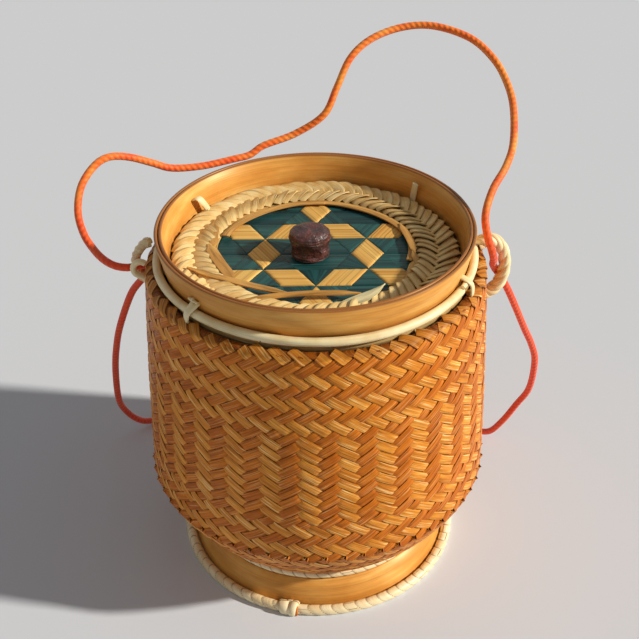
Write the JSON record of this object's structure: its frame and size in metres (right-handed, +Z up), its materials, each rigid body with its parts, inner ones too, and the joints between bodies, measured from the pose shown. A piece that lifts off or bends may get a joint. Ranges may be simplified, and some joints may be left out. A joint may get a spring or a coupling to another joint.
{
  "type": "sticky rice basket",
  "caption": "Round woven bamboo basket for steamed sticky rice, on a flared foot, with a lift-off lid with a star mat and knob, rattan ears and a carrying cord",
  "frame": {"origin": "on the surface that the basket stands on, on the axis of its body", "axes": "+Z up along the axis of the body and the way the lid lifts, X through the two ears, -Y the front"},
  "size_m": [0.1951, 0.1595, 0.196],
  "materials": {
    "amber_bamboo": "split bamboo strips, smoked to amber and lightly varnished",
    "plain_bamboo": "plain split bamboo, bare",
    "bent_wood": "thin bent strip with fine grain, satin",
    "pale_rattan": "pale split rattan, satin",
    "dyed_mat": "fine mat of dyed teal and plain straw splints",
    "palm_leaf": "plaited dry palm leaf, matt",
    "dark_wood": "carved hardwood, stained dark, satin",
    "orange_cord": "twisted synthetic cord"
  },
  "bodies": {
    "basket": {"outer_weave": "amber_bamboo", "inner_weave": "plain_bamboo", "mouth_hem": "amber_bamboo", "foot_hoop": "bent_wood", "foot_top_lashing": "pale_rattan", "foot_binding": "pale_rattan", "ear_right": "pale_rattan", "ear_left": "pale_rattan", "cord_carry": "orange_cord", "cord_sling": "orange_cord"},
    "lid": {"lid_hoop_outer": "bent_wood", "lid_hoop_inner": "bent_wood", "lid_ring": "pale_rattan", "lid_tie_1": "pale_rattan", "lid_tie_2": "pale_rattan", "lid_tie_3": "pale_rattan", "lid_tie_4": "pale_rattan", "lid_collar": "plain_bamboo", "lid_lining": "plain_bamboo", "lid_disc": "dyed_mat", "splint_ring": "palm_leaf", "plait_band": "palm_leaf", "knob": "dark_wood", "knob_peg": "plain_bamboo", "peg_washer": "plain_bamboo"}
  },
  "joints": [
    {"name": "lid_lift", "type": "slide", "parent": "basket", "child": "lid", "axis": [0, 0, 1], "range_m": [0, 0.06]}
  ]
}
